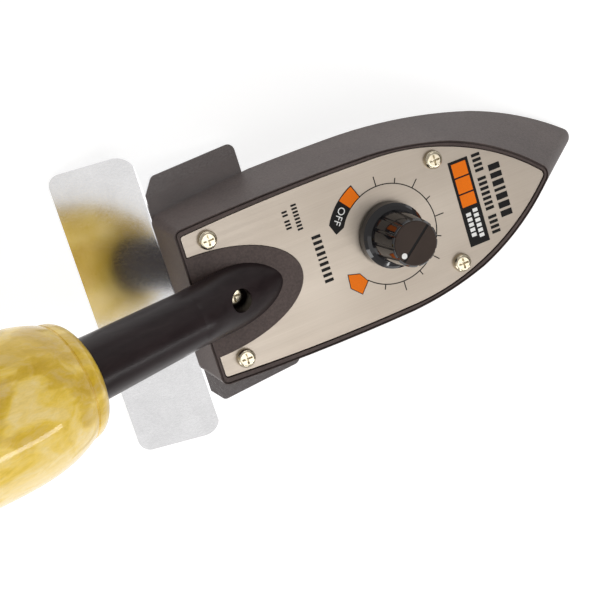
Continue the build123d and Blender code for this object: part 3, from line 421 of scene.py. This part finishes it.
# dial: arc, ticks, off block, end arrow
marks = [sector(DIAL_R - LINE_W / 2, DIAL_R + LINE_W / 2, DIAL_START, DIAL_END)]
for step in range(TICKS):
    turn = TICK_FIRST - TICK_STEP * step
    reach = TICK_LONG if step % 2 == 0 else TICK_SHORT
    marks.append(bar(*polar(DIAL_R, turn), *polar(DIAL_R + reach, turn), LINE_W))
printed("print_dial_lines", marks, "ink_black")
off_point = [polar(OFF_OUT, OFF_END), polar(DIAL_R + 1.9, OFF_POINT), polar(OFF_IN, OFF_END)]
printed("print_off_block", [sector(OFF_IN, OFF_OUT, OFF_START, OFF_END), off_point], "ink_black")
printed("print_off_orange", [sector(DIAL_R + 0.1, DIAL_R + 4.2, OFF_START + 1, DIAL_END)],
        "ink_orange", SECOND_COAT)
cx, cy = (sum(p[i] for p in ARROW) / len(ARROW) for i in (0, 1))
outer = [(cx + (x - cx) * ARROW_EDGE, cy + (y - cy) * ARROW_EDGE) for x, y in ARROW]
printed("print_arrow_edge", [outer], "ink_black")
printed("print_arrow", [ARROW], "ink_orange", SECOND_COAT)

# plain bars where the object carries lettering
printed("print_panel", [[(23.4, 13.6), (23.4, -13.2), (30.0, -13.2), (30.0, 13.6)]], "ink_black")
printed("print_panel_orange", blocks(24.3, 29.1, 12.7, (4.2, 4.6, 3.8), 0.5),
        "ink_orange", SECOND_COAT)
printed("print_panel_white", blocks(27.1, 28.7, -2.2, (1.1,) * 6, 0.5)
        + blocks(24.7, 26.3, -2.9, (1.1,) * 5, 0.5), "white", SECOND_COAT)
printed("print_title", blocks(35.6, 39.4, 8.6, (1.9, 1.7, 1.7, 0.9, 1.9, 1.9, 1.9), 0.8), "ink_black")
printed("print_subtitle", blocks(31.3, 34.1, 13.5, (0.95,) * 4 + (-0.6,) + (0.95,) * 7 + (-0.6,)
                                 + (0.95,) * 4, 0.62), "ink_black")
printed("print_rating", blocks(-23.4, -20.6, 7.9, (0.95,) * 4 + (0.6,) + (0.95,) * 4, 0.8), "ink_black")
printed("print_small", blocks(-26.6, -24.9, 19.0, (0.6,) * 8, 0.45)
        + blocks(-29.8, -28.1, 18.0, (0.6,) * 2 + (-0.3,) + (0.6,) * 3, 0.45), "ink_black")

# dark enamel in the cap's groove, turning with the knob
bm = bmesh.new()
end_x, end_y = polar(GROOVE_HALF, GROOVE_TURN)
prism(bm, bar(-end_x, -end_y, end_x, end_y, GROOVE_W), CAP_TOP - GROOVE_FLOOR, CAP_TOP - ENAMEL_TOP)
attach(solid(bm, "pointer_enamel", M["ink_black"]), "dial_knob")

# the word beside the dial, reading outward
letters = bpy.data.curves.new("print_off_letters", "FONT")
letters.body = "OFF"
letters.size = LETTER_SIZE * MM
letters.extrude = LETTER_T * MM
letters.align_x = "CENTER"
letters.align_y = "CENTER"
letters.space_character = 1.05
off_text = bpy.data.objects.new("print_off_letters", letters)
SCENE.collection.objects.link(off_text)
off_x, off_y = polar(LETTER_R, OFF_TURN)
off_text.matrix_world = (Matrix.Translation((off_x * MM, off_y * MM, (PLATE_TOP + INK_T) * MM))
                         @ Matrix.Rotation(math.radians(OFF_TURN + 90), 4, "Z"))
letters.materials.append(M["white"])
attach(off_text, "iron")

# ------------------------------------------------------------------ floor, light, camera
mat, t, s = new_material("floor_white")
n = noise(t, coords(t), 0.004, 2)
link(t, ramp(t, n, [(0.3, (0.50, 0.50, 0.50)), (0.7, (0.53, 0.53, 0.53))]), s.inputs["Base Color"])
s.inputs["Roughness"].default_value = 0.9
s.inputs["Specular IOR Level"].default_value = 0.0
s.inputs["Emission Color"].default_value = (1, 1, 1, 1)
s.inputs["Emission Strength"].default_value = 0.70
bm = bmesh.new()
bmesh.ops.create_grid(bm, x_segments=1, y_segments=1, size=FLOOR_HALF * MM)
mesh = bpy.data.meshes.new("floor")
bm.to_mesh(mesh)
bm.free()
floor = bpy.data.objects.new("floor", mesh)
SCENE.collection.objects.link(floor)
floor.data.materials.append(mat)
floor.location.z = -FLOOR_DROP * MM

world = bpy.data.worlds.new("studio")
SCENE.world = world
world.use_nodes = True
t = world.node_tree
# even light tent with one dim corner up in front
toward = t.nodes.new("ShaderNodeVectorMath")
toward.operation = "DOT_PRODUCT"
link(t, t.nodes.new("ShaderNodeTexCoord").outputs["Generated"], toward.inputs[0])
toward.inputs[1].default_value = Vector((0.76, -0.25, 0.60)).normalized()
tent = ramp(t, toward.outputs["Value"], [(0.89, (1.0, 0.985, 0.97)), (0.96, (0.26, 0.225, 0.215))])
link(t, tent, t.nodes["Background"].inputs["Color"])
t.nodes["Background"].inputs["Strength"].default_value = 0.48


def softbox(name, place, aim, size, radiance, roll=0.0):
    """Rectangular light whose face has the given brightness, rolled by degrees."""
    light = bpy.data.lights.new(name, "AREA")
    light.shape = "RECTANGLE"
    light.size, light.size_y = size
    light.energy = radiance * math.pi * size[0] * size[1]
    o = bpy.data.objects.new(name, light)
    SCENE.collection.objects.link(o)
    o.location = place
    turn = (Vector(aim) - Vector(place)).to_track_quat("-Z", "Y").to_matrix()
    o.rotation_euler = (turn @ Matrix.Rotation(math.radians(roll), 3, "Z")).to_euler()


# name, place, aim, width and height in metres, brightness
softbox("top", (0.13, -0.36, 1.15), (0, 0, 0.03), (0.7, 0.7), 1.7)
softbox("heel_side", (-0.66, -0.30, 1.0), (-0.07, 0, 0.03), (0.6, 0.8), 0.55)
softbox("left", (0.35, 1.0, 0.8), (0, 0, 0.03), (0.6, 0.4), 1.3)
softbox("right_strip", (-0.25, -1.12, 0.72), (-0.12, 0, 0.05), (0.34, 0.10), 11.0)
softbox("highlight", (0.613, -0.763, 0.851), (-0.13, 0, 0.08), (0.6, 0.14), 7.0, roll=-46.5)
softbox("rear_low", (-0.85, -0.55, 0.42), (0, 0, 0.04), (0.4, 0.4), 3.0)

# the camera turns round a point on the plate; angles in degrees
CAM_TARGET = Vector((-0.03229, -0.00844, 0.0355))
CAM_DISTANCE = 0.49697
CAM_AZIMUTH, CAM_ELEVATION, CAM_ROLL = -136.99, 67.717, 117.227
CAM_LENS = 102.6
az, el, roll = (math.radians(v) for v in (CAM_AZIMUTH, CAM_ELEVATION, CAM_ROLL))
back = Vector((math.sin(az) * math.cos(el), -math.cos(az) * math.cos(el), math.sin(el)))
side = Vector((math.cos(az), math.sin(az), 0))
over = back.cross(side)
right = side * math.cos(roll) + over * math.sin(roll)
up = back.cross(right)
cam_data = bpy.data.cameras.new("camera")
cam_data.lens = CAM_LENS
cam_data.sensor_width = 36
cam_data.clip_start = 0.01
cam = bpy.data.objects.new("camera", cam_data)
SCENE.collection.objects.link(cam)
spot = CAM_TARGET + back * CAM_DISTANCE
cam.matrix_world = Matrix((
    (right.x, up.x, back.x, spot.x),
    (right.y, up.y, back.y, spot.y),
    (right.z, up.z, back.z, spot.z),
    (0, 0, 0, 1)))
SCENE.camera = cam
SCENE.view_settings.view_transform = "Standard"

# ------------------------------------------------------------------ update the scene
bpy.context.view_layer.update()
